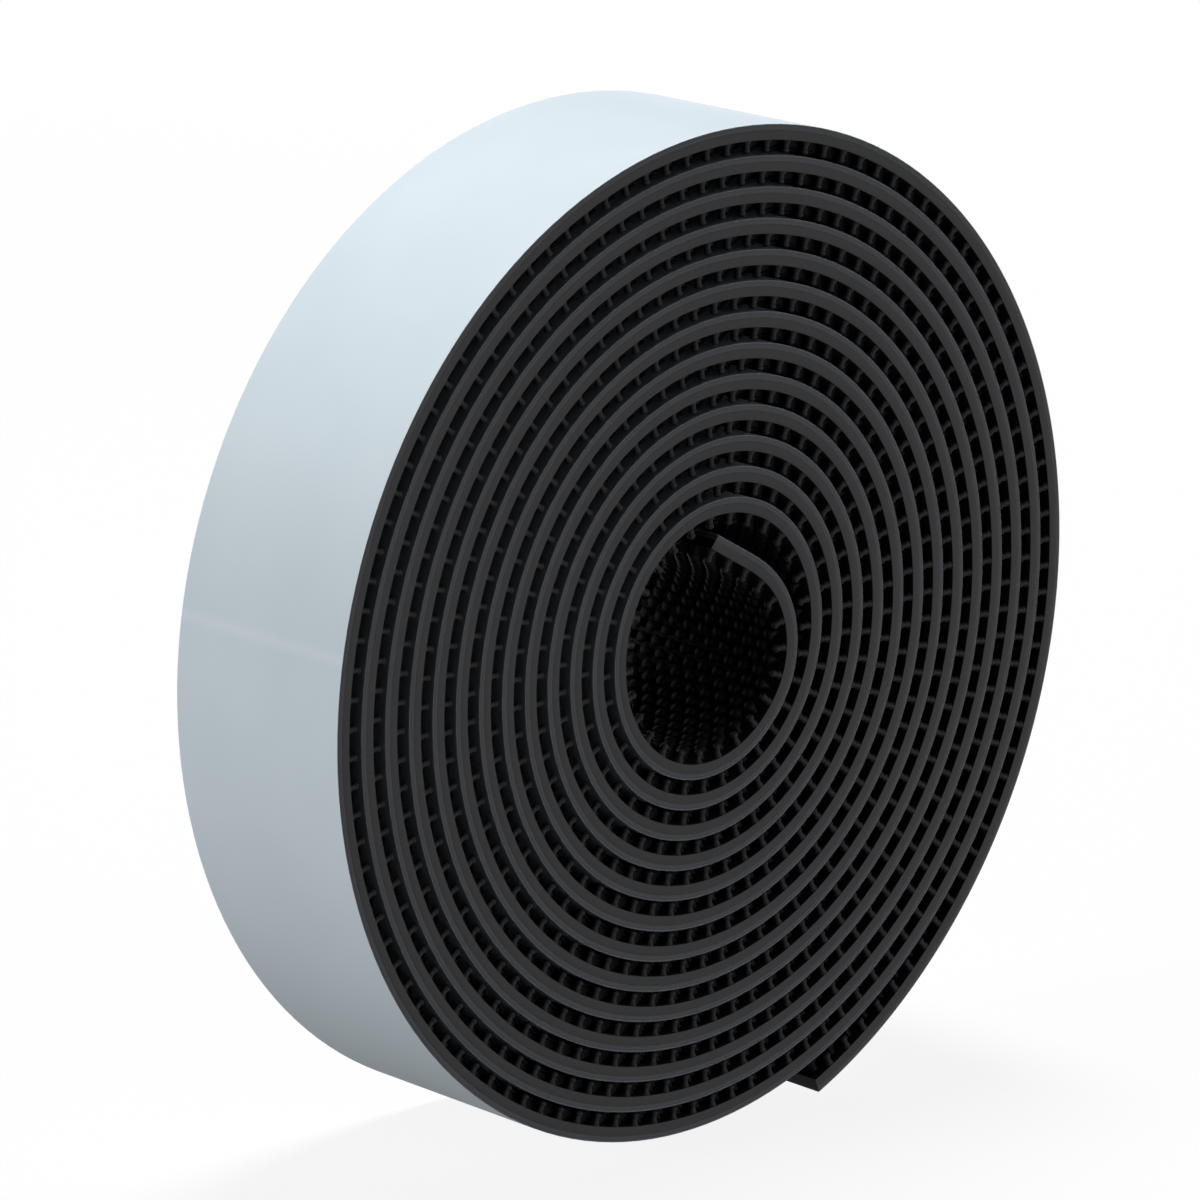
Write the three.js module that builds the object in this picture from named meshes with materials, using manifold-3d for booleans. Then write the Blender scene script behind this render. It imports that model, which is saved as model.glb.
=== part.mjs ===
// A roll of mushroom-head fastener tape, wound on itself with no core and standing on its rim.
// Millimetres, +Z up. The roll's axis lies along Y and the face in view looks along -Y.
// Seen from that face the tape winds outwards clockwise, with its stems towards the bore.
import * as THREE from "three";
import { mergeVertices } from "three/addons/utils/BufferGeometryUtils.js";
import Module from "manifold-3d";

// The tape's own sizes, from the peel-off side to the fastening side
const TAPE_WIDTH = 25.4;
const LINER_THICKNESS = 0.12;
const ADHESIVE_THICKNESS = 0.5;
const BACKING_THICKNESS = 1.1;
const STEM_HEIGHT = 1.6;
const BOND_GAP = 0.05;

// Stems on the exposed wall of the bore
const STEM_DIAMETER = 0.8;
const HEAD_DIAMETER = 1.5;
const STEM_PITCH = 3.28;
const STEM_ROWS = 7;
const STEM_SIDES = 3;
const STEM_FILM = 0.2;

// The winding: each turn is a spiral of flats that touch the true curve at their middles
const INNER_RADIUS = 11.7;
const TAPE_TURNS = 13.462;
const TURN_GAP = 0.1;
const FLATS_PER_TURN = 20;

// The stiff inner end stays nearly straight, so it dips into the bore and its tip leans on the next turn
const INNER_DIP = 2.5;
const INNER_DIP_SWEEP_DEG = 126;
const INNER_DIP_SKEW = 0.6;
const INNER_DIP_SHARPNESS = 1.5;
const INNER_END_SWEEP_DEG = 90;

// The outer end bends off the roll in stretches, each one flat long, with a gap between neighbours.
// Its cut end has sprung off the turn below, and a short end of its liner peels as a tab.
const TAIL_SWEEP_DEG = 108;
const STRETCH_GAP = 0.3;
const TAIL_SPRING = 0.9;
const TAIL_SPRING_SWEEP_DEG = 54;
const TAB_LENGTH = 15;

// What follows from those sizes
const STEP = (2 * Math.PI) / FLATS_PER_TURN;
const STEP_DEG = 360 / FLATS_PER_TURN;
const BACKING = { low: 0, high: BACKING_THICKNESS };
const ADHESIVE = { low: BACKING.high + BOND_GAP, high: BACKING.high + BOND_GAP + ADHESIVE_THICKNESS };
const LINER = { low: ADHESIVE.high + BOND_GAP, high: ADHESIVE.high + BOND_GAP + LINER_THICKNESS };
const FILM = { low: -BOND_GAP - STEM_FILM, high: -BOND_GAP };
const WINDING_PITCH = LINER.high + STEM_HEIGHT + TURN_GAP;
const TAPE_END = TAPE_TURNS * FLATS_PER_TURN;
const LAST_CORNER = Math.floor(TAPE_END);
const TAIL_STRETCHES = Math.round(TAIL_SWEEP_DEG / STEP_DEG);
const TAIL_ROOT = LAST_CORNER - TAIL_STRETCHES;
const INNER_HINGE = Math.round(INNER_END_SWEEP_DEG / STEP_DEG);
const HALF_WIDTH = TAPE_WIDTH / 2;

// How far the inner end dips below the even spiral, at a place counted in flats from the tip
function innerDip(flat) {
  const share = (flat * STEP_DEG) / INNER_DIP_SWEEP_DEG;
  if (share >= 1) return 0;
  return INNER_DIP * Math.pow(Math.sin(Math.PI * Math.pow(share, INNER_DIP_SKEW)), INNER_DIP_SHARPNESS);
}

// How far the outer end stands off the even spiral
function tailSpring(flat) {
  const share = 1 - ((TAPE_END - flat) * STEP_DEG) / TAIL_SPRING_SWEEP_DEG;
  return TAIL_SPRING * Math.pow(Math.max(share, 0), 2);
}

// Radius of the backing's stem side
function woundRadius(flat) {
  return INNER_RADIUS + (WINDING_PITCH * flat) / FLATS_PER_TURN - innerDip(flat) + tailSpring(flat);
}

// A corner of the path as (x, z) about the roll's axis; angles run clockwise from 12 o'clock
function cornerAbout(flat, turnedBy) {
  const radius = woundRadius(flat) / Math.cos(STEP / 2);
  const angle = turnedBy + flat * STEP;
  return new THREE.Vector2(radius * Math.sin(angle), radius * Math.cos(angle));
}

// Direction of travel along a flat, and the normal that points away from the bore
function flatAxes(flat, turnedBy) {
  const along = cornerAbout(flat + 1, turnedBy).sub(cornerAbout(flat, turnedBy)).normalize();
  return { along, out: new THREE.Vector2(-along.y, along.x) };
}

// The roll stands on the first flat past the tail whose plane the tail's corner stays above
const tailCorner = cornerAbout(LAST_CORNER, 0)
  .lerp(cornerAbout(LAST_CORNER + 1, 0), TAPE_END - LAST_CORNER)
  .addScaledVector(flatAxes(LAST_CORNER, 0).out, LINER.high);

function clearsTail(flat) {
  const { out } = flatAxes(flat, 0);
  return tailCorner.dot(out) < cornerAbout(flat, 0).dot(out) + LINER.high;
}

let footFlat = LAST_CORNER - FLATS_PER_TURN;
while (!clearsTail(footFlat)) footFlat += 1;
const footOut = flatAxes(footFlat, 0).out;
const TURNED_BY = Math.PI - Math.atan2(footOut.x, footOut.y);

// A place on the path at an offset from the backing's stem side; corners are mitred, cut ends are square
function placeAbout(flat, offset) {
  const before = Math.floor(flat);
  const share = flat - before;
  const here = flatAxes(before, TURNED_BY).out;
  const point = cornerAbout(before, TURNED_BY).lerp(cornerAbout(before + 1, TURNED_BY), share);
  if (share > 0 || before === 0) return point.addScaledVector(here, offset);
  const previous = flatAxes(before - 1, TURNED_BY).out;
  const mitre = here.clone().add(previous).divideScalar(1 + here.dot(previous));
  return point.addScaledVector(mitre, offset);
}

// Corners and cut ends between two places, in order
function stationsBetween(from, to) {
  const stations = [from];
  for (let flat = Math.floor(from) + 1; flat < to; flat += 1) stations.push(flat);
  stations.push(to);
  return stations;
}

// The axis is set so that the foot lies on z = 0 and the part's box is centred on x = 0
const rim = stationsBetween(LAST_CORNER - FLATS_PER_TURN, TAPE_END).map((s) => placeAbout(s, LINER.high));
const rimX = rim.map((p) => p.x);
const AXIS = new THREE.Vector2(
  -(Math.min(...rimX) + Math.max(...rimX)) / 2,
  -placeAbout(footFlat, LINER.high).y,
);

function place(flat, offset) {
  return placeAbout(flat, offset).add(AXIS);
}

// The tab starts part of the way along the last stretch
const LAST_HINGE = LAST_CORNER - 1;
const lastFlatLength = place(LAST_HINGE, LINER.low).distanceTo(place(LAST_CORNER, LINER.low));
const TAB_ROOT = TAPE_END - TAB_LENGTH / lastFlatLength;

// One layer of the tape between two places, as a closed strip of the tape's width.
// A joint end is drawn back along its flat by half the gap between stretches.
function layerGeometry({ low, high }, from, to) {
  const stations = stationsBetween(from, to);
  const positions = [];
  const index = [];
  stations.forEach((station, i) => {
    const isStart = i === 0;
    const isEnd = i === stations.length - 1;
    const jointEnd = (isStart && station > 0) || (isEnd && station < TAPE_END);
    const flat = isEnd ? Math.ceil(station) - 1 : Math.floor(station);
    const drawnBack = jointEnd ? STRETCH_GAP / 2 : 0;
    const shift = flatAxes(flat, TURNED_BY).along.multiplyScalar(isStart ? drawnBack : -drawnBack);
    const inner = place(station, low).add(shift);
    const outer = place(station, high).add(shift);
    positions.push(inner.x, -HALF_WIDTH, inner.y, outer.x, -HALF_WIDTH, outer.y);
    positions.push(outer.x, HALF_WIDTH, outer.y, inner.x, HALF_WIDTH, inner.y);
    if (isEnd) return;
    for (let side = 0; side < 4; side += 1) {
      const a = 4 * i + side;
      const b = 4 * i + ((side + 1) % 4);
      index.push(a, a + 4, b + 4, a, b + 4, b);
    }
  });
  const last = 4 * (stations.length - 1);
  index.push(0, 1, 2, 0, 2, 3, last, last + 2, last + 1, last, last + 3, last + 2);
  return new THREE.BufferGeometry()
    .setAttribute("position", new THREE.Float32BufferAttribute(positions, 3))
    .setIndex(index);
}

const wasm = await Module();
wasm.setup();

function solidOf(geometry) {
  const bare = geometry.clone();
  bare.deleteAttribute("normal");
  bare.deleteAttribute("uv");
  const merged = mergeVertices(bare, 1e-4);
  return new wasm.Manifold(
    new wasm.Mesh({
      numProp: 3,
      vertProperties: new Float32Array(merged.attributes.position.array),
      triVerts: new Uint32Array(merged.index.array),
    }),
  );
}

function geometryOf(solid) {
  const mesh = solid.getMesh();
  return new THREE.BufferGeometry()
    .setAttribute("position", new THREE.BufferAttribute(mesh.vertProperties, mesh.numProp))
    .setIndex(new THREE.BufferAttribute(mesh.triVerts, 1));
}

// One stem on a flat, flared from its root to its head and standing towards the bore
function stemGeometry(flat, share, across) {
  const { along, out } = flatAxes(flat, TURNED_BY);
  const rootDepth = (FILM.low + FILM.high) / 2;
  const height = STEM_HEIGHT + rootDepth;
  const middle = place(flat, rootDepth)
    .lerp(place(flat + 1, rootDepth), share)
    .addScaledVector(out, -height / 2);
  const axes = new THREE.Matrix4().makeBasis(
    new THREE.Vector3(along.x, 0, along.y),
    new THREE.Vector3(-out.x, 0, -out.y),
    new THREE.Vector3(0, 1, 0),
  );
  return new THREE.CylinderGeometry(HEAD_DIAMETER / 2, STEM_DIAMETER / 2, height, STEM_SIDES)
    .applyMatrix4(axes)
    .translate(middle.x, across, middle.y);
}

// Staggered columns of stems on a thin film of the backing, between two corners of the path
function stemFieldGeometry(from, to) {
  const pieces = [solidOf(layerGeometry(FILM, from, to))];
  let walked = 0;
  let column = 0;
  for (let flat = from; flat < to; flat += 1) {
    const length = place(flat, FILM.low).distanceTo(place(flat + 1, FILM.low));
    for (; (column + 0.5) * STEM_PITCH < walked + length; column += 1) {
      const share = ((column + 0.5) * STEM_PITCH - walked) / length;
      const stagger = column % 2 ? 0.25 : -0.25;
      for (let row = 0; row < STEM_ROWS; row += 1) {
        const across = ((row + 0.5 + stagger) / STEM_ROWS - 0.5) * TAPE_WIDTH;
        pieces.push(solidOf(stemGeometry(flat, share, across)));
      }
    }
    walked += length;
  }
  return geometryOf(wasm.Manifold.union(pieces).asOriginal().simplify(1e-3));
}

const linerFilm = new THREE.MeshStandardMaterial({ color: 0xd3dce4, roughness: 0.35, metalness: 0 });
const foamAdhesive = new THREE.MeshStandardMaterial({ color: 0x47484b, roughness: 0.85, metalness: 0 });
const blackPlastic = new THREE.MeshStandardMaterial({ color: 0x2c2c2e, roughness: 0.55, metalness: 0 });

const roll = new THREE.Group();
roll.name = "fastener_tape_roll";

function addPiece(name, geometry, material) {
  const mesh = new THREE.Mesh(geometry, material);
  mesh.name = name;
  roll.add(mesh);
}

// The wound tape, one unbroken strip a layer
addPiece("wound_backing", layerGeometry(BACKING, INNER_HINGE, TAIL_ROOT), blackPlastic);
addPiece("wound_adhesive", layerGeometry(ADHESIVE, INNER_HINGE, TAIL_ROOT), foamAdhesive);
addPiece("wound_liner", layerGeometry(LINER, INNER_HINGE, TAIL_ROOT), linerFilm);
addPiece("bore_stems", stemFieldGeometry(INNER_HINGE, FLATS_PER_TURN), blackPlastic);

// The free inner end
addPiece("inner_end_backing", layerGeometry(BACKING, 0, INNER_HINGE), blackPlastic);
addPiece("inner_end_adhesive", layerGeometry(ADHESIVE, 0, INNER_HINGE), foamAdhesive);
addPiece("inner_end_liner", layerGeometry(LINER, 0, INNER_HINGE), linerFilm);
addPiece("inner_end_stems", stemFieldGeometry(0, INNER_HINGE), blackPlastic);

// The free outer end, with the end of its liner as the tab that peels
for (let stretch = 1; stretch <= TAIL_STRETCHES; stretch += 1) {
  const isLast = stretch === TAIL_STRETCHES;
  const from = TAIL_ROOT + stretch - 1;
  const to = isLast ? TAPE_END : from + 1;
  addPiece(`tail_${stretch}_backing`, layerGeometry(BACKING, from, to), blackPlastic);
  addPiece(`tail_${stretch}_adhesive`, layerGeometry(ADHESIVE, from, to), foamAdhesive);
  addPiece(`tail_${stretch}_liner`, layerGeometry(LINER, from, isLast ? TAB_ROOT : to), linerFilm);
}
addPiece("liner_tab", layerGeometry(LINER, TAB_ROOT, TAPE_END), linerFilm);

// Hinge lines along Y. The tail and the tab turn about the liner's face, and the inner end about the
// root of its stems, so that each joint opens on the side away from its line.
roll.userData.hinges = {
  inner_end: place(INNER_HINGE, BACKING.low).toArray(),
  liner_tab: place(TAB_ROOT, LINER.high).toArray(),
};
for (let stretch = 1; stretch <= TAIL_STRETCHES; stretch += 1) {
  roll.userData.hinges[`tail_${stretch}`] = place(TAIL_ROOT + stretch - 1, LINER.high).toArray();
}
roll.userData.axis = AXIS.toArray();
roll.userData.turnedBy = TURNED_BY;
roll.userData.foot = place(footFlat + 0.5, LINER.high).toArray();
roll.userData.edge = place(footFlat + 0.5, BACKING_THICKNESS / 2).toArray();

// The least distance between the liner of one turn and the backing of the next turn out
let leastGap = Infinity;
for (let flat = 0; flat + FLATS_PER_TURN <= TAPE_END; flat += 0.25) {
  const liner = place(flat, LINER.high);
  for (let over = -1; over <= 1; over += 0.05) {
    const next = Math.min(Math.max(flat + FLATS_PER_TURN + over, 0), TAPE_END);
    leastGap = Math.min(leastGap, liner.distanceTo(place(next, BACKING.low)));
  }
}
console.log(`least gap between turns of the strip ${leastGap.toFixed(2)} mm`);
console.log(`tail corner stands ${place(TAPE_END, LINER.high).y.toFixed(2)} mm off the floor`);

export default roll;
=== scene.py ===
# %% [markdown]
# A roll of mushroom-head fastener tape, made step by step.
# The tape has four layers: a pale release liner, a foam adhesive, a black plastic backing, and a field of
# small stems with mushroom heads, which lock into another strip of the same tape. It is wound on itself
# with no core, liner outwards, so its side shows a dark spiral of edges and stems.
# The measured model is loaded first. It fixes every size, place and hinge, and this lesson gives it its
# smooth shapes and its materials.

# %% Load the measured model
import math

import bmesh
import bpy
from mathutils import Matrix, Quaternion, Vector


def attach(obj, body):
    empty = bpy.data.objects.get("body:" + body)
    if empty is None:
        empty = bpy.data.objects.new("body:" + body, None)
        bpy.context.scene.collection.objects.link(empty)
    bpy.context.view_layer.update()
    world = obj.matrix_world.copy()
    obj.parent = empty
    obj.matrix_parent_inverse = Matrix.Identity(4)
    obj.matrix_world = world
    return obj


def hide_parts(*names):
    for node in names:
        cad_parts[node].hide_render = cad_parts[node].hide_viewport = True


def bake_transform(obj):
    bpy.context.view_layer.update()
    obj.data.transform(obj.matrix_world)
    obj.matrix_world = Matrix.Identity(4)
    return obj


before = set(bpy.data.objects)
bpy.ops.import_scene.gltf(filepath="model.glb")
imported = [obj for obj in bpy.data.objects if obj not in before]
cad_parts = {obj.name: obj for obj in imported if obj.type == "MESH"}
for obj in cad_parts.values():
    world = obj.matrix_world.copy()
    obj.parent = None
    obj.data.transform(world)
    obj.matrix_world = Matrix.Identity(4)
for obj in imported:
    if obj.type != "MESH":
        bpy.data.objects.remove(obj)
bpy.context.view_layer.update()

# %% [markdown]
# The path of the tape is a spiral. A place on it is counted in "flats", twenty to a turn, because the
# measured model is a spiral of flat steps with its hinges at the corners. A table of points would do,
# but one formula for the radius is shorter, and it gives the same path to the layers, to the stems and to
# the hinges. The free inner end hangs a little into the bore and the outer end springs away from the roll.

# %% The tape's path
MM = 0.001
INNER_RADIUS = 11.7
WINDING_PITCH = 3.52
FLATS_PER_TURN = 20
STEP = 2 * math.pi / FLATS_PER_TURN
TAPE_END = 13.462 * FLATS_PER_TURN
INNER_DIP, INNER_DIP_FLATS = 2.5, 7.0
INNER_DIP_SKEW, INNER_DIP_SHARPNESS = 0.6, 1.5
TAIL_SPRING, TAIL_SPRING_FLATS = 0.9, 3.0
# The roll's axis, and the angle of the inner end that brings the foot level, as on the measured model.
AXIS_X, AXIS_Z, TURNED_BY = -0.8814, 57.6051, 6.136065
# Steps in flats: to each side for the path's direction, and between the points that measure its length.
DIRECTION_STEP, LENGTH_STEP = 0.05, 0.1


def inner_dip(flat):
    """How far the free inner end hangs inside the spiral."""
    if not 0 < flat < INNER_DIP_FLATS:
        return 0.0
    swing = math.sin(math.pi * (flat / INNER_DIP_FLATS) ** INNER_DIP_SKEW)
    return INNER_DIP * swing**INNER_DIP_SHARPNESS


def wound_radius(flat):
    """Radius of the backing's stem side at a place on the path, in millimetres."""
    spring_share = max(1 - (TAPE_END - flat) / TAIL_SPRING_FLATS, 0.0)
    spiral = INNER_RADIUS + WINDING_PITCH * flat / FLATS_PER_TURN
    return spiral - inner_dip(flat) + TAIL_SPRING * spring_share**2


def path_point(flat):
    """A place on the path, on the backing's stem side, in millimetres."""
    angle = TURNED_BY + flat * STEP
    radius = wound_radius(flat)
    return Vector((AXIS_X + radius * math.sin(angle), 0, AXIS_Z + radius * math.cos(angle)))


def outward(flat):
    """Unit vector away from the bore, square to the path."""
    low = max(flat - DIRECTION_STEP, 0.0)
    high = min(flat + DIRECTION_STEP, TAPE_END)
    along = (path_point(high) - path_point(low)).normalized()
    return Vector((-along.z, 0, along.x))


def place(flat, offset=0.0):
    """A place on the path in metres, moved outwards from the backing's stem side by some millimetres."""
    return (path_point(flat) + outward(flat) * offset) * MM


waypoints = [path_point(i * LENGTH_STEP) for i in range(int(TAPE_END / LENGTH_STEP) + 1)]
tape_length = sum((after - before).length for before, after in zip(waypoints, waypoints[1:]))
print("tape length in metres", round(tape_length * MM, 2))

# %% [markdown]
# Materials and shapes are both built from nodes here. Two helpers keep that short. One turns a colour as
# it is usually written, sRGB hex, into the linear numbers that a renderer needs. The other adds a node,
# sets its inputs and links it, so a tree reads from top to bottom like a recipe.

# %% Colour and node helpers


def linear(hex_colour):
    """An sRGB hex colour as linear RGBA."""
    channels = [int(hex_colour[i : i + 2], 16) / 255 for i in (1, 3, 5)]
    return [c / 12.92 if c <= 0.04045 else ((c + 0.055) / 1.055) ** 2.4 for c in channels] + [1.0]


def add(tree, kind, settings=None, **inputs):
    """Adds a node. An input is a value, or a (node, socket) pair to link from; _ in its name is a space."""
    node = tree.nodes.new(kind)
    for name, value in (settings or {}).items():
        setattr(node, name, value)
    for name, value in inputs.items():
        key = int(name[1:]) if name[0] == "i" and name[1:].isdigit() else name.replace("_", " ")
        if isinstance(value, tuple) and isinstance(value[0], bpy.types.Node):
            tree.links.new(value[0].outputs[value[1]], node.inputs[key])
        else:
            node.inputs[key].default_value = value
    return node


def new_material(name):
    """An empty material and its node tree."""
    material = bpy.data.materials.new(name)
    material.use_nodes = True
    material.node_tree.nodes.clear()
    return material, material.node_tree


print("mid grey in linear light", round(linear("#808080")[0], 3))

# %% [markdown]
# The release liner is a cast polyethylene film with a silicone coat, about a tenth of a millimetre thick.
# It is bluish white with a dull satin, because the coat is thin, and faintly wavy where it follows the
# foam under it. One flat colour would look like paint, so a soft mottle about 12 mm across shifts its
# tint and gloss, and a low ripple 20 mm long bends the light. On the left of the roll one old crease
# crosses the film. The light that its fold catches is painted into the film's colour as a faint paler
# line, a painted highlight.

# %% Liner film
LINER_DARK, LINER_LIGHT, LINER_CREASE_HIGHLIGHT = "#CAD6DE", "#D4DFE6", "#F4F8FF"
LINER_IOR, LINER_SHEEN = 1.5, 0.12
LINER_SMOOTHEST, LINER_DULLEST = 0.54, 0.66
MOTTLE_SIZE, RIPPLE_LENGTH = 12, 20
RIPPLE_STRENGTH, RIPPLE_HEIGHT = 0.25, 0.3
# The crease's paler colour, and how far it is mixed in, are a painted highlight of the fold.
CREASE_HEIGHT, CREASE_HALF_WIDTH, CREASE_HIGHLIGHT_SHARE = 63.7, 1.1, 0.16
OUTER_TURN_LEFT = -57.0


def make_liner_film():
    """Siliconised film: pale and satin to the eye, with faint waves and one crease drawn as a painted
    highlight.
    """
    material, tree = new_material("siliconised_polyethylene_liner")
    spot = add(tree, "ShaderNodeTexCoord")
    mottle = add(
        tree, "ShaderNodeTexNoise", Vector=(spot, "Object"), Scale=1 / (MOTTLE_SIZE * MM), Detail=2.0
    )
    face = add(
        tree,
        "ShaderNodeMix",
        {"data_type": "RGBA"},
        Factor=(mottle, "Fac"),
        i6=linear(LINER_DARK),
        i7=linear(LINER_LIGHT),
    )
    along = add(tree, "ShaderNodeSeparateXYZ", Vector=(spot, "Object"))
    dullness = add(
        tree,
        "ShaderNodeMapRange",
        Value=(mottle, "Fac"),
        To_Min=LINER_SMOOTHEST,
        To_Max=LINER_DULLEST,
    )
    ripple = add(
        tree, "ShaderNodeTexNoise", Vector=(spot, "Object"), Scale=1 / (RIPPLE_LENGTH * MM), Detail=1.0
    )
    waves = add(
        tree,
        "ShaderNodeBump",
        Strength=RIPPLE_STRENGTH,
        Distance=RIPPLE_HEIGHT * MM,
        Height=(ripple, "Fac"),
    )
    above = add(tree, "ShaderNodeMath", {"operation": "SUBTRACT"}, i0=(along, "Z"), i1=CREASE_HEIGHT * MM)
    beside = add(tree, "ShaderNodeMath", {"operation": "ABSOLUTE"}, i0=(above, 0))
    fold = add(
        tree,
        "ShaderNodeMapRange",
        {"interpolation_type": "SMOOTHSTEP"},
        Value=(beside, 0),
        From_Max=CREASE_HALF_WIDTH * MM,
        To_Min=1.0,
        To_Max=0.0,
    )
    on_left = add(
        tree, "ShaderNodeMath", {"operation": "LESS_THAN"}, i0=(along, "X"), i1=OUTER_TURN_LEFT * MM
    )
    crease = add(tree, "ShaderNodeMath", {"operation": "MULTIPLY"}, i0=(fold, 0), i1=(on_left, 0))
    # The paler line along the crease is a painted highlight, mixed into the film's colour.
    painted_crease_highlight = add(tree, "ShaderNodeMath", {"operation": "MULTIPLY"}, i0=(crease, 0), i1=CREASE_HIGHLIGHT_SHARE)
    tint = add(
        tree,
        "ShaderNodeMix",
        {"data_type": "RGBA"},
        Factor=(painted_crease_highlight, 0),
        i6=(face, 2),
        i7=linear(LINER_CREASE_HIGHLIGHT),
    )
    shader = add(
        tree,
        "ShaderNodeBsdfPrincipled",
        Base_Color=(tint, 2),
        Roughness=(dullness, 0),
        Normal=(waves, 0),
        IOR=LINER_IOR,
        Specular_IOR_Level=LINER_SHEEN,
    )
    add(tree, "ShaderNodeOutputMaterial", Surface=(shader, 0))
    return material


liner_film = make_liner_film()
print("liner material", liner_film.name)

# %% [markdown]
# The other materials differ more in finish than in colour. The adhesive is a closed-cell acrylic foam,
# dark grey and dull. The backing and its stems are moulded polypropylene, deep black as the mould left
# it. Where the knife slit the tape to width, the plastic is greyer and torn a little, and the liner is
# seen end on, grey over the dark foam. One function serves them all: a fine grain mixes two close
# colours, and the same grain moves the roughness and lifts a small bump. Real foam cells and knife marks
# are finer still, and would not show in the picture, so the grain is drawn a few times coarser.

# %% Foam and plastic
PLASTIC_IOR = 1.49
ROUGHNESS_SWING, GRAIN_STRENGTH = 0.08, 0.5


def make_grained_material(name, dark, light, grain_mm, roughness, sheen, bump_mm):
    """A material whose grain shifts its colour, its roughness and its surface a little."""
    material, tree = new_material(name)
    spot = add(tree, "ShaderNodeTexCoord")
    grain = add(tree, "ShaderNodeTexNoise", Vector=(spot, "Object"), Scale=1 / (grain_mm * MM), Detail=3.0)
    tint = add(
        tree,
        "ShaderNodeMix",
        {"data_type": "RGBA"},
        Factor=(grain, "Fac"),
        i6=linear(dark),
        i7=linear(light),
    )
    dullness = add(
        tree,
        "ShaderNodeMapRange",
        Value=(grain, "Fac"),
        To_Min=roughness - ROUGHNESS_SWING,
        To_Max=roughness + ROUGHNESS_SWING,
    )
    bump = add(
        tree, "ShaderNodeBump", Strength=GRAIN_STRENGTH, Distance=bump_mm * MM, Height=(grain, "Fac")
    )
    shader = add(
        tree,
        "ShaderNodeBsdfPrincipled",
        Base_Color=(tint, 2),
        Roughness=(dullness, 0),
        Normal=(bump, 0),
        IOR=PLASTIC_IOR,
        Specular_IOR_Level=sheen,
    )
    add(tree, "ShaderNodeOutputMaterial", Surface=(shader, 0))
    return material


# Each call gives the name, two colours, the grain in mm, the roughness, the sheen and the bump in mm.
# The foam's cells scatter light, so it looks soft and greyer than the plastic.
foam = make_grained_material("acrylic_foam_adhesive", "#4A4B4F", "#595A5E", 0.35, 0.85, 0.32, 0.06)
# Moulded plastic is smooth and deep black, with only a small glint.
moulded_plastic = make_grained_material(
    "moulded_polypropylene", "#08080A", "#0E0E0F", 1.2, 0.50, 0.05, 0.02
)
# Slit plastic is dull and greyer, with a rough grain that the knife leaves.
slit_plastic = make_grained_material("slit_polypropylene", "#171719", "#222224", 0.6, 0.62, 0.26, 0.05)
# Trimmed stems are scuffed but not cut flat, so they stay darker than the slit edge.
trimmed_plastic = make_grained_material(
    "trimmed_polypropylene", "#121214", "#1A1A1C", 0.6, 0.55, 0.13, 0.04
)
# The slit film is a thin grey line to the eye.
slit_film = make_grained_material("slit_polyethylene_liner", "#5C6065", "#686C71", 0.3, 0.60, 0.20, 0.01)
made = (foam, moulded_plastic, slit_plastic, trimmed_plastic, slit_film)
print("materials", [material.name for material in made])

# %% [markdown]
# A layer of the tape is a thin rectangle swept along the path, so Geometry Nodes make it: edges that
# draw the path become a curve, and Curve to Mesh carries the cross-section along it. The curve's normal
# is set to the roll's axis, so that the section never twists. The section's sizes are inputs of the tree,
# and its corners are rounded, because a slit edge is never sharp and a round edge catches the light. The
# faces that look along the roll's axis are the slit ones, so they get a finish of their own.

# %% Tape layer as a node tree
CORNER_STEPS = 2
SLIT_FACING = 0.5


def new_tree(name, **inputs):
    """An empty Geometry Nodes tree with named inputs, and the node that gives them."""
    tree = bpy.data.node_groups.new(name, "GeometryNodeTree")
    for label, kind in inputs.items():
        socket_kind = "NodeSocket" + kind
        tree.interface.new_socket(label.replace("_", " "), in_out="INPUT", socket_type=socket_kind)
    tree.interface.new_socket("Geometry", in_out="OUTPUT", socket_type="NodeSocketGeometry")
    return tree, add(tree, "NodeGroupInput")


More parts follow.
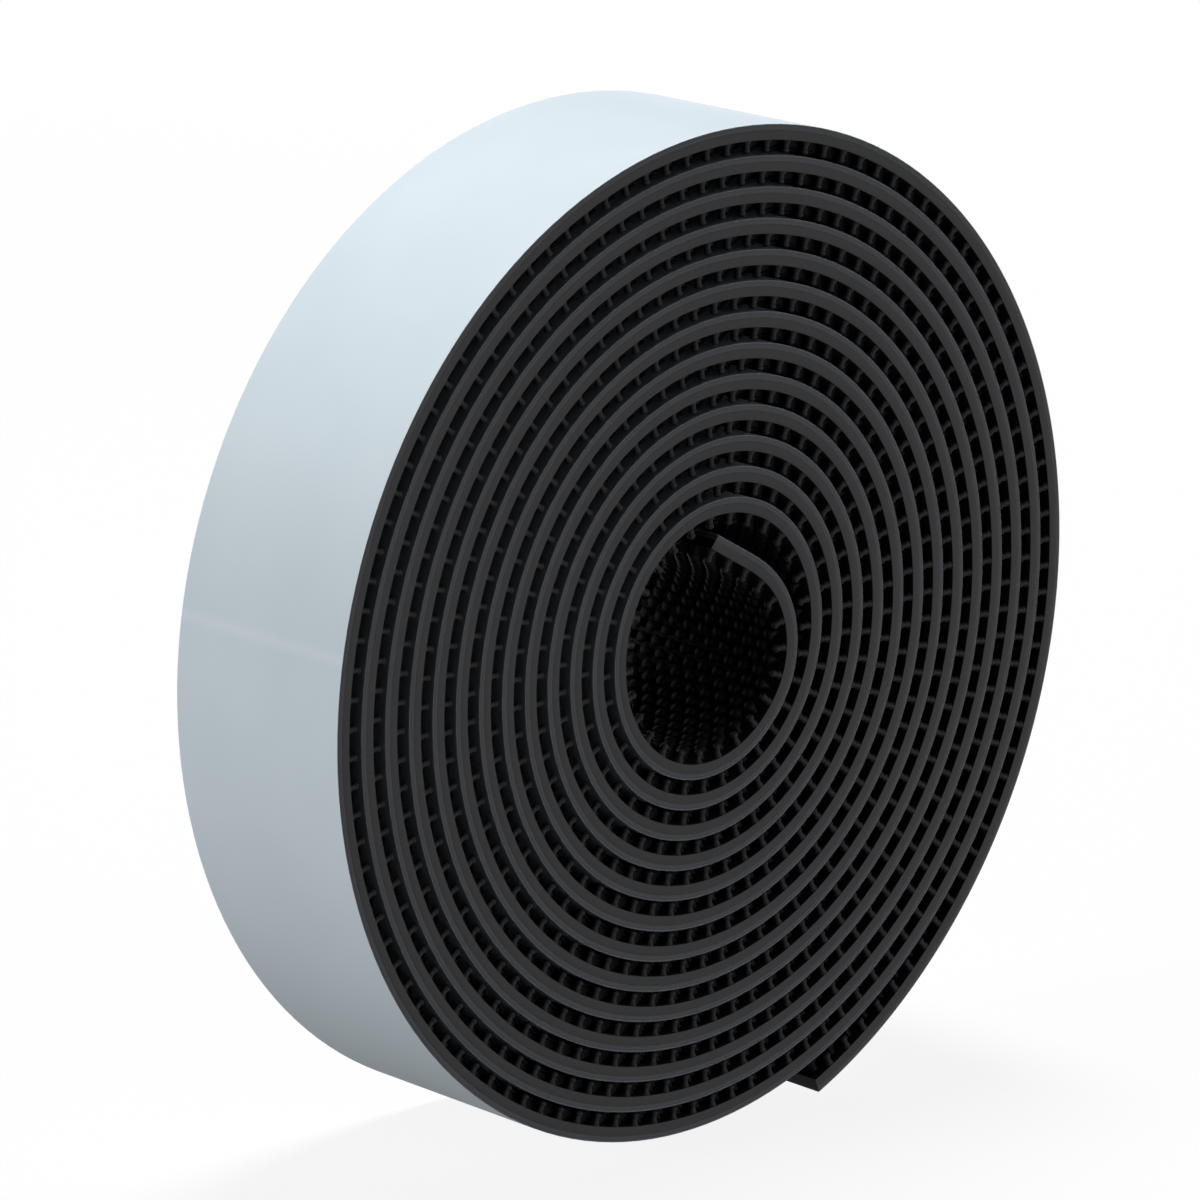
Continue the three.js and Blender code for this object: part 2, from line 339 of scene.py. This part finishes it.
def make_layer_tree():
    """Sweeps a layer's cross-section along the path that the given edges draw."""
    tree, given = new_tree(
        "tape_layer",
        Geometry="Geometry",
        Width="Float",
        Low="Float",
        High="Float",
        Low_Corner="Float",
        High_Corner="Float",
        Finish="Material",
        Slit_Finish="Material",
    )
    edges = add(tree, "GeometryNodeMeshToCurve", Mesh=(given, "Geometry"))
    path = add(tree, "GeometryNodeSetCurveNormal", {"mode": "FREE"}, Curve=(edges, 0), Normal=(0, 1, 0))
    thickness = add(
        tree, "ShaderNodeMath", {"operation": "SUBTRACT"}, i0=(given, "High"), i1=(given, "Low")
    )
    section = add(
        tree, "GeometryNodeCurvePrimitiveQuadrilateral", Width=(given, "Width"), Height=(thickness, 0)
    )
    corner = add(tree, "GeometryNodeInputPosition")
    side = add(tree, "ShaderNodeSeparateXYZ", Vector=(corner, 0))
    is_high = add(tree, "ShaderNodeMath", {"operation": "GREATER_THAN"}, i0=(side, "Y"), i1=0.0)
    radius = add(
        tree,
        "GeometryNodeSwitch",
        {"input_type": "FLOAT"},
        Switch=(is_high, 0),
        i1=(given, "Low Corner"),
        i2=(given, "High Corner"),
    )
    rounded = add(
        tree,
        "GeometryNodeFilletCurve",
        {"mode": "POLY"},
        Curve=(section, 0),
        Count=CORNER_STEPS,
        Radius=(radius, 0),
    )
    twice_middle = add(
        tree, "ShaderNodeMath", {"operation": "ADD"}, i0=(given, "High"), i1=(given, "Low")
    )
    middle = add(tree, "ShaderNodeMath", {"operation": "MULTIPLY"}, i0=(twice_middle, 0), i1=0.5)
    lift = add(tree, "ShaderNodeCombineXYZ", Y=(middle, 0))
    seated = add(tree, "GeometryNodeTransform", Geometry=(rounded, 0), Translation=(lift, 0))
    swept = add(
        tree, "GeometryNodeCurveToMesh", Curve=(path, 0), Profile_Curve=(seated, 0), Fill_Caps=True
    )
    real = add(tree, "GeometryNodeRealizeInstances", Geometry=(swept, 0))
    coated = add(tree, "GeometryNodeSetMaterial", Geometry=(real, 0), Material=(given, "Finish"))
    facing = add(tree, "GeometryNodeInputNormal")
    sideways = add(tree, "ShaderNodeSeparateXYZ", Vector=(facing, 0))
    turned = add(tree, "ShaderNodeMath", {"operation": "ABSOLUTE"}, i0=(sideways, "Y"))
    is_slit = add(tree, "ShaderNodeMath", {"operation": "GREATER_THAN"}, i0=(turned, 0), i1=SLIT_FACING)
    finished = add(
        tree,
        "GeometryNodeSetMaterial",
        Geometry=(coated, 0),
        Selection=(is_slit, 0),
        Material=(given, "Slit Finish"),
    )
    add(tree, "NodeGroupOutput", Geometry=(finished, 0))
    return tree


layer_tree = make_layer_tree()
print("layer tree has", len(layer_tree.nodes), "nodes")

# %% [markdown]
# A tree works as a modifier on an object. Each piece should end as a plain mesh, because that is what
# moves with the roll's bodies. So the helper below puts the tree on a helper object, fills in the inputs
# by their identifiers, keeps the evaluated mesh and removes the helper object. The sweep may leave
# faces turned inwards, so each closed layer has its normals recalculated.

# %% Strip of one layer
TAPE_WIDTH = 25.4
SECTION_STEP, END_STEP, LEAST_SECTIONS = 1 / 8, 1 / 250, 24


def grow(name, start_mesh, tree, crease_degrees, **values):
    """Runs a tree on a mesh and keeps the result as one plain, smooth mesh in a new piece."""
    helper = bpy.data.objects.new(name + "_helper", start_mesh)
    bpy.context.scene.collection.objects.link(helper)
    modifier = helper.modifiers.new(tree.name, "NODES")
    modifier.node_group = tree
    for socket in tree.interface.items_tree:
        key = socket.name.replace(" ", "_")
        if socket.in_out == "INPUT" and key in values:
            modifier[socket.identifier] = values[key]
    graph = bpy.context.evaluated_depsgraph_get()
    mesh = bpy.data.meshes.new_from_object(helper.evaluated_get(graph))
    bpy.data.objects.remove(helper)
    mesh.name = name
    mesh.shade_smooth()
    mesh.set_sharp_from_angle(angle=math.radians(crease_degrees))
    piece = bpy.data.objects.new(name, mesh)
    bpy.context.scene.collection.objects.link(piece)
    return piece


def stations(start, end):
    """Places along the path where a strip has a cross-section, close together at both ends."""
    count = max(LEAST_SECTIONS, round((end - start) / SECTION_STEP))
    between = [start + (end - start) * i / count for i in range(1, count)]
    return [start, start + END_STEP, *between, end - END_STEP, end]


def strip(name, layer, start, end):
    """One layer of the tape between two places on the path."""
    low, high, low_corner, high_corner, crease_degrees, finish, slit_finish, slot = layer
    places = stations(start, end)
    line = bpy.data.meshes.new(name + "_path")
    line.from_pydata([place(flat) for flat in places], [(i, i + 1) for i in range(len(places) - 1)], [])
    piece = grow(
        name,
        line,
        layer_tree,
        crease_degrees,
        Width=TAPE_WIDTH * MM,
        Low=low * MM,
        High=high * MM,
        Low_Corner=low_corner * MM,
        High_Corner=high_corner * MM,
        Finish=finish,
        Slit_Finish=slit_finish,
    )
    shell = bmesh.new()
    shell.from_mesh(piece.data)
    bmesh.ops.recalc_face_normals(shell, faces=shell.faces)
    shell.to_mesh(piece.data)
    shell.free()
    return piece


print("cross-sections on one turn", len(stations(0, FLATS_PER_TURN)))

# %% [markdown]
# The tape bends where the measured model has hinges: once near the inner end, and at six places along
# the outer end. A piece that lies between two hinges rides on one body. A piece that crosses a hinge
# has its place baked into its mesh and rides on no body. The outer bends are short, so that the stems
# before a hinge aren't pressed into the turn below.
# This list says where each stretch starts and ends and what it hangs on.

# %% Where the tape is divided
INNER_HINGE, INNER_BEND = 5, 1.0
TAIL_STRETCHES, TAIL_BEND = 6, 0.15
LAST_CORNER = int(TAPE_END)
TAIL_HINGES = range(LAST_CORNER - TAIL_STRETCHES, LAST_CORNER)
HALF_FLAT = 0.5
WOUND = (INNER_HINGE + INNER_BEND, TAIL_HINGES[0] - HALF_FLAT)
stretches = [
    ("wound", *WOUND, "roll", None),
    ("inner_end", 0.0, INNER_HINGE - INNER_BEND, "inner_end", None),
    ("inner_bend", INNER_HINGE - INNER_BEND, INNER_HINGE + INNER_BEND, "inner_end", "roll"),
]
for number, hinge in enumerate(TAIL_HINGES, start=1):
    before = "roll" if number == 1 else f"tail_{number - 1}"
    stretches.append((f"tail_{number}", hinge - HALF_FLAT, hinge + HALF_FLAT, before, f"tail_{number}"))
stretches.append(("tail_tip", TAIL_HINGES[-1] + HALF_FLAT, TAPE_END, "tail_6", None))


def hang_on(piece, first, second):
    """Makes a piece ride on its body; a piece between two bodies gets its place baked into its mesh."""
    if second is None:
        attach(piece, first)
    else:
        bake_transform(piece)


print("stretches of tape", [stretch[0] for stretch in stretches])

# %% [markdown]
# Now every stretch gets its backing, its foam and its liner, each a separate piece as on the real tape,
# where the liner peels off the foam and the foam is coated on the backing. The last 15 mm of the liner is
# a tab of its own, and its root is where peeling starts.

# %% Layers of the tape
# Each layer has its lower and upper face and two corner radii in mm, the angle in degrees from which an edge
# is shaded sharp, two materials and its slot. The liner's corners are shaded sharp, because its wide face,
# smoothed into them, would look crowned.
LAYERS = {
    "backing": (0.0, 1.12, 0.12, 0.03, 35, moulded_plastic, slit_plastic, "black_plastic"),
    "adhesive": (1.12, 1.69, 0.03, 0.10, 35, foam, foam, "foam_adhesive"),
    "liner": (1.69, 1.82, 0.03, 0.05, 10, liner_film, slit_film, "release_liner"),
}
TAB_LENGTH = 15.0
TAB_ROOT = TAPE_END - TAB_LENGTH / (wound_radius(TAPE_END - HALF_FLAT) * STEP)
for stretch, start, end, first, second in stretches:
    for layer_name, layer in LAYERS.items():
        if layer_name == "liner" and stretch == "tail_tip":
            continue
        layer_end = TAB_ROOT if layer_name == "liner" and stretch == "tail_6" else end
        piece = strip(f"{stretch}_{layer_name}_strip", layer, start, layer_end)
        hang_on(piece, first, second)
        if f"{stretch}_{layer_name}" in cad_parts:
            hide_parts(f"{stretch}_{layer_name}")
tab = strip("liner_tab_strip", LAYERS["liner"], TAB_ROOT, TAPE_END)
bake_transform(tab)
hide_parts("liner_tab")
wound_faces = len(bpy.data.objects["wound_backing_strip"].data.polygons)
print("faces on the wound backing", wound_faces)

# %% [markdown]
# A stem is a flared foot, a straight neck and a domed head that overhangs it. On the real tape the stems
# are moulded in one with the backing, thousands of them, so Geometry Nodes make one stem from a stack of
# open cones, closed by a sole, and put a copy on every point. Its sizes are inputs. The points carry the
# angle at which a stem stands on the curved tape, and a small random tilt with a fixed seed keeps the rows
# from looking machined, since stems get pushed about as the tape is wound.

# %% Stem field as a node tree
# Each cone: lower radius and its share, upper radius and its share, and the heights as shares of the stem.
STEM_CONES = (
    ("Foot Radius", 1.0, "Neck Radius", 1.0, 0.0, 0.3),
    ("Neck Radius", 1.0, "Neck Radius", 1.0, 0.3, 0.62),
    ("Neck Radius", 1.0, "Head Radius", 1.0, 0.62, 0.7),
    ("Head Radius", 1.0, "Head Radius", 0.96, 0.7, 0.8),
    ("Head Radius", 0.96, "Head Radius", 0.6, 0.8, 0.94),
    ("Head Radius", 0.6, "Head Radius", 0.0, 0.94, 1.0),
)
WELD_DISTANCE = 0.001


def make_stem_field_tree():
    """Puts a stem on each point, leaning by the point's own angle about the roll's axis."""
    tree, given = new_tree(
        "stem_field",
        Geometry="Geometry",
        Stem_Height="Float",
        Foot_Radius="Float",
        Neck_Radius="Float",
        Head_Radius="Float",
        Sides="Int",
        Tilt="Float",
        Seed="Int",
        Plastic="Material",
    )
    stack = add(tree, "GeometryNodeJoinGeometry")
    for low, low_share, high, high_share, bottom, top in STEM_CONES:
        shares = {
            "Radius_Bottom": (low, low_share),
            "Radius_Top": (high, high_share),
            "Depth": ("Stem Height", top - bottom),
            "Base": ("Stem Height", bottom),
        }
        sizes = {}
        for size, (label, share) in shares.items():
            part = add(tree, "ShaderNodeMath", {"operation": "MULTIPLY"}, i0=(given, label), i1=share)
            sizes[size] = (part, 0)
        lift = add(tree, "ShaderNodeCombineXYZ", Z=sizes.pop("Base"))
        cone = add(
            tree, "GeometryNodeMeshCone", {"fill_type": "NONE"}, Vertices=(given, "Sides"), **sizes
        )
        raised = add(tree, "GeometryNodeTransform", Geometry=(cone, "Mesh"), Translation=(lift, 0))
        tree.links.new(raised.outputs[0], stack.inputs[0])
    sole = add(
        tree,
        "GeometryNodeMeshCircle",
        {"fill_type": "NGON"},
        Vertices=(given, "Sides"),
        Radius=(given, "Foot Radius"),
    )
    closed = add(tree, "GeometryNodeFlipFaces", Mesh=(sole, 0))
    tree.links.new(closed.outputs[0], stack.inputs[0])
    stem = add(tree, "GeometryNodeMergeByDistance", Geometry=(stack, 0), Distance=WELD_DISTANCE * MM)
    lean = add(tree, "GeometryNodeInputNamedAttribute", {"data_type": "FLOAT"}, Name="lean")
    stand = add(tree, "ShaderNodeCombineXYZ", Y=(lean, "Attribute"))
    chance = add(
        tree,
        "FunctionNodeRandomValue",
        {"data_type": "FLOAT_VECTOR"},
        i0=(-1, -1, 0),
        i1=(1, 1, 0),
        Seed=(given, "Seed"),
    )
    tilt = add(
        tree, "ShaderNodeVectorMath", {"operation": "SCALE"}, i0=(chance, 0), Scale=(given, "Tilt")
    )
    turn = add(tree, "ShaderNodeVectorMath", {"operation": "ADD"}, i0=(stand, 0), i1=(tilt, 0))
    stood = add(
        tree,
        "GeometryNodeInstanceOnPoints",
        Points=(given, "Geometry"),
        Instance=(stem, 0),
        Rotation=(turn, 0),
    )
    real = add(tree, "GeometryNodeRealizeInstances", Geometry=(stood, 0))
    finished = add(tree, "GeometryNodeSetMaterial", Geometry=(real, 0), Material=(given, "Plastic"))
    add(tree, "NodeGroupOutput", Geometry=(finished, 0))
    return tree


stem_field_tree = make_stem_field_tree()
print("stem tree has", len(stem_field_tree.nodes), "nodes")

# %% [markdown]
# The columns of stems are counted off along the tape's real length, so their spacing stays the same on
# every turn, whatever its radius. Rows run along the tape, and every other row is moved by half a step,
# as in the mould. The knife that slits the tape to width runs along the outermost rows, so these stand
# flush with the edge, and their heads are trimmed to fit.

# %% Columns and rows of stems
STEM_PITCH = 3.28
STEM_ROWS = 22
HEAD_RADIUS, TRIMMED_FOOT_RADIUS = 0.75, 0.58
EDGE_INSET = 0.02
WALK_STEP = 1 / 40


def stem_columns():
    """Places on the path, one for each half step between columns along the tape."""
    places, walked, wanted = [], 0.0, STEM_PITCH / 4
    flat, here = 0.0, path_point(0.0)
    while flat + WALK_STEP < TAPE_END:
        ahead = path_point(flat + WALK_STEP)
        length = (ahead - here).length
        while wanted <= walked + length:
            places.append(flat + WALK_STEP * (wanted - walked) / length)
            wanted += STEM_PITCH / 2
        walked += length
        flat += WALK_STEP
        here = ahead
    return places


columns = stem_columns()
row_reach = TAPE_WIDTH / 2 - TRIMMED_FOOT_RADIUS - EDGE_INSET
row_y = [row_reach * (2 * row / (STEM_ROWS - 1) - 1) for row in range(STEM_ROWS)]
print("columns", len(columns), "rows", STEM_ROWS, "row spacing in mm", round(row_y[1] - row_y[0], 2))

# %% [markdown]
# A stem field is one plain mesh for one stretch and some of its rows. Stems that show, at the tape's two
# edges and in the bore, get eight sides. Those hidden between the turns get six, so the whole roll stays
# light enough to turn in a viewer. The stems that the knife has trimmed stand straight and have the
# greyer trimmed plastic. The others keep the mould's black and tilt a little.

# %% One field of stems
STEM_HEIGHT, FOOT_SINK = 1.6, 0.04
SHOWN_SIDES, HIDDEN_SIDES = 8, 6
STEM_SEED, STEM_CREASE_DEGREES = 7, 50
# Each kind of stem has its foot, neck and head radius in mm, its tilt and its plastic.
STEM_KINDS = {
    "trimmed": (TRIMMED_FOOT_RADIUS, 0.36, 0.48, 0.0, trimmed_plastic),
    "moulded": (0.62, 0.46, HEAD_RADIUS, math.radians(4), moulded_plastic),
}


def stem_field(name, kind, start, end, rows, sides):
    """The stems of some rows between two places on the path, as one plain mesh."""
    foot, neck, head, tilt, plastic = STEM_KINDS[kind]
    points, leans = [], []
    for number, flat in enumerate(columns):
        if not start <= flat < end:
            continue
        root, away = path_point(flat), outward(flat)
        for row in rows:
            if row % 2 == number % 2:
                points.append((root + away * FOOT_SINK + Vector((0, row_y[row], 0))) * MM)
                leans.append(math.atan2(-away.x, -away.z))
    mesh = bpy.data.meshes.new(name + "_points")
    mesh.from_pydata(points, [], [])
    mesh.attributes.new("lean", "FLOAT", "POINT").data.foreach_set("value", leans)
    piece = grow(
        name,
        mesh,
        stem_field_tree,
        STEM_CREASE_DEGREES,
        Stem_Height=STEM_HEIGHT * MM,
        Foot_Radius=foot * MM,
        Neck_Radius=neck * MM,
        Head_Radius=head * MM,
        Sides=sides,
        Tilt=tilt,
        Seed=STEM_SEED,
        Plastic=plastic,
    )
    return piece, len(points)


print("stem height and head in mm", STEM_HEIGHT, 2 * HEAD_RADIUS)

# %% [markdown]
# The fields are laid over the tape. The wound part is cut into shares of a few thousand stems each, so
# that no mesh grows too large. The first share is the wall of the bore, which shows, so all its stems are
# the finer ones, and it stands for the stems that the measured model has there.

# %% Stems on the wound turns and on the free ends
EDGE_ROWS = [0, STEM_ROWS - 1]
INNER_ROWS = range(1, STEM_ROWS - 1)
BORE_END, WOUND_PARTS = 26.0, 7
wound_columns = [flat for flat in columns if BORE_END <= flat < WOUND[1]]
cuts = [wound_columns[len(wound_columns) * part // WOUND_PARTS] for part in range(1, WOUND_PARTS)]
shares = [WOUND[0], BORE_END, *cuts, WOUND[1]]
fields = []
for number, (start, end) in enumerate(zip(shares, shares[1:])):
    stands_for = "bore_stems" if number == 0 else None
    fields.append((f"wound_{number}", start, end, "roll", None, stands_for))
for stretch, start, end, first, second in stretches[1:]:
    stands_for = "inner_end_stems" if stretch == "inner_end" else None
    fields.append((stretch, start, end, first, second, stands_for))
stem_count = 0
for field, start, end, first, second, stands_for in fields:
    hidden = field.startswith("wound") and stands_for is None
    inner_sides = HIDDEN_SIDES if hidden else SHOWN_SIDES
    edge = stem_field(f"{field}_edge_stems", "trimmed", start, end, EDGE_ROWS, SHOWN_SIDES)
    inner = stem_field(f"{field}_inner_stems", "moulded", start, end, INNER_ROWS, inner_sides)
    for piece, count in (edge, inner):
        hang_on(piece, first, second)
        stem_count += count
        if stands_for:
            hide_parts(stands_for)
print("stems on the whole tape", stem_count, "in", 2 * len(fields), "fields")

# %% [markdown]
# The roll stands on a white sweep. A floor lit to pure white would need so much light that the pale liner
# would burn out. So the floor and the sky glow white only for what looks at them: the camera, and the
# reflections in the black plastic. They give hardly any light to the roll, and the floor keeps a soft
# shadow near it. Farther out it glows fully, so that no horizon shows between floor and sky.

# %% Floor
FLOOR_REACH = 12.0
NEAR_GLOW, NEAR_REACH, FAR_REACH = 0.88, 0.15, 0.9
PAPER_UNSEEN, PAPER_SEEN = "#262626", "#F2F2F2"


def seen_directly(tree):
    """One for rays from the camera, and for those that a gloss or a clear surface sends on."""
    path = add(tree, "ShaderNodeLightPath")
    mirrored = add(
        tree,
        "ShaderNodeMath",
        {"operation": "MAXIMUM"},
        i0=(path, "Is Glossy Ray"),
        i1=(path, "Is Transmission Ray"),
    )
    return add(
        tree, "ShaderNodeMath", {"operation": "MAXIMUM"}, i0=(path, "Is Camera Ray"), i1=(mirrored, 0)
    )


def make_floor():
    """A wide matt floor: white where it is seen, dark grey where it would throw light back."""
    material, tree = new_material("white_paper_sweep")
    seen = seen_directly(tree)
    tint = add(
        tree,
        "ShaderNodeMix",
        {"data_type": "RGBA"},
        Factor=(seen, 0),
        i6=linear(PAPER_UNSEEN),
        i7=linear(PAPER_SEEN),
    )
    paper = add(tree, "ShaderNodeBsdfDiffuse", Color=(tint, 2))
    glow = add(tree, "ShaderNodeEmission", Color=linear("#FFFFFF"), Strength=1.0)
    spot = add(tree, "ShaderNodeTexCoord")
    distance = add(tree, "ShaderNodeVectorMath", {"operation": "LENGTH"}, i0=(spot, "Object"))
    share = add(
        tree,
        "ShaderNodeMapRange",
        {"interpolation_type": "SMOOTHSTEP"},
        Value=(distance, "Value"),
        From_Min=NEAR_REACH,
        From_Max=FAR_REACH,
        To_Min=NEAR_GLOW,
    )
    part = add(tree, "ShaderNodeMath", {"operation": "MULTIPLY"}, i0=(seen, 0), i1=(share, 0))
    both = add(tree, "ShaderNodeMixShader", i0=(part, 0), i1=(paper, 0), i2=(glow, 0))
    add(tree, "ShaderNodeOutputMaterial", Surface=(both, 0))
    corners = [(x * FLOOR_REACH, y * FLOOR_REACH, 0) for x, y in ((-1, -1), (1, -1), (1, 1), (-1, 1))]
    mesh = bpy.data.meshes.new("floor")
    mesh.from_pydata(corners, [], [(0, 1, 2, 3)])
    mesh.materials.append(material)
    floor = bpy.data.objects.new("floor", mesh)
    bpy.context.scene.collection.objects.link(floor)
    return floor


floor = make_floor()
print("floor is", 2 * FLOOR_REACH, "m wide")

# %% [markdown]
# The light is that of a small product studio. One soft lamp hangs overhead and one stands on the left, so
# the liner is brightest on top and fades towards the floor. Both stand a little behind the roll's face:
# there they shape the liner but don't shine into the gaps between the turns, which stay black. A weaker
# lamp opens up the right side for other views, and a small one in front shows the tape's edges.

# %% Light
roll_centre = Vector((AXIS_X, 0, AXIS_Z)) * MM
SKY_LIGHT = 0.015
# Each lamp has its place and its diameter in metres, and its power in watts.
LAMPS = {
    "overhead": ((0.17, 0.24, 1.14), 0.42, 12.0),
    "left": ((-1.05, 0.24, 0.23), 0.42, 7.9),
    "right": ((1.05, 0.26, 0.12), 0.20, 5.0),
    "front": ((0.32, -1.15, 0.07), 0.13, 5.0),
}


def make_world(strength):
    """A white sky that gives only a little light."""
    world = bpy.data.worlds.new("studio")
    world.use_nodes = True
    tree = world.node_tree
    tree.nodes.clear()
    seen = seen_directly(tree)
    level = add(tree, "ShaderNodeMapRange", Value=(seen, 0), To_Min=strength, To_Max=1.0)
    sky = add(tree, "ShaderNodeBackground", Color=linear("#FFFFFF"), Strength=(level, 0))
    add(tree, "ShaderNodeOutputWorld", Surface=(sky, 0))
    bpy.context.scene.world = world


def make_lamp(name, location, size, watts):
    """A round soft lamp that points at the middle of the roll."""
    lamp = bpy.data.lights.new(name, "AREA")
    lamp.shape = "DISK"
    lamp.size = size
    lamp.energy = watts
    holder = bpy.data.objects.new(name, lamp)
    holder.location = location
    holder.rotation_euler = (roll_centre - Vector(location)).to_track_quat("-Z", "Y").to_euler()
    bpy.context.scene.collection.objects.link(holder)


make_world(SKY_LIGHT)
for lamp_name, (lamp_place, diameter, watts) in LAMPS.items():
    make_lamp(lamp_name, lamp_place, diameter, watts)

# %% [markdown]
# The camera stands where the photograph seems to be taken from: 47 degrees to the left of the roll's face
# and 13.5 degrees above it, with a long lens that keeps the two rims nearly alike. It is tipped by 3.6
# degrees, so that the roll can stand level on its floor. The small shift only frames the roll.

# %% Camera
VIEW_AZIMUTH, VIEW_ELEVATION, VIEW_ROLL = (math.radians(angle) for angle in (-46.97, 13.47, 3.6))
VIEW_DISTANCE = 0.6814
SENSOR_WIDTH, FOCAL_LENGTH = 36.0, 179.07
SHIFT_X, SHIFT_Y = -0.0283, 0.0196
back = Vector(
    (
        math.sin(VIEW_AZIMUTH) * math.cos(VIEW_ELEVATION),
        -math.cos(VIEW_AZIMUTH) * math.cos(VIEW_ELEVATION),
        math.sin(VIEW_ELEVATION),
    )
)
lens = bpy.data.cameras.new("photo_camera")
lens.sensor_width = SENSOR_WIDTH
lens.lens = FOCAL_LENGTH
lens.shift_x = SHIFT_X
lens.shift_y = SHIFT_Y
camera = bpy.data.objects.new("photo_camera", lens)
camera.location = roll_centre + back * VIEW_DISTANCE
level_view = (-back).to_track_quat("-Z", "Y")
camera.rotation_euler = (level_view @ Quaternion((0, 0, 1), VIEW_ROLL)).to_euler()
bpy.context.scene.collection.objects.link(camera)
bpy.context.scene.camera = camera
bpy.context.scene.view_settings.view_transform = "Standard"
print("camera stands at", [round(value, 3) for value in camera.location])
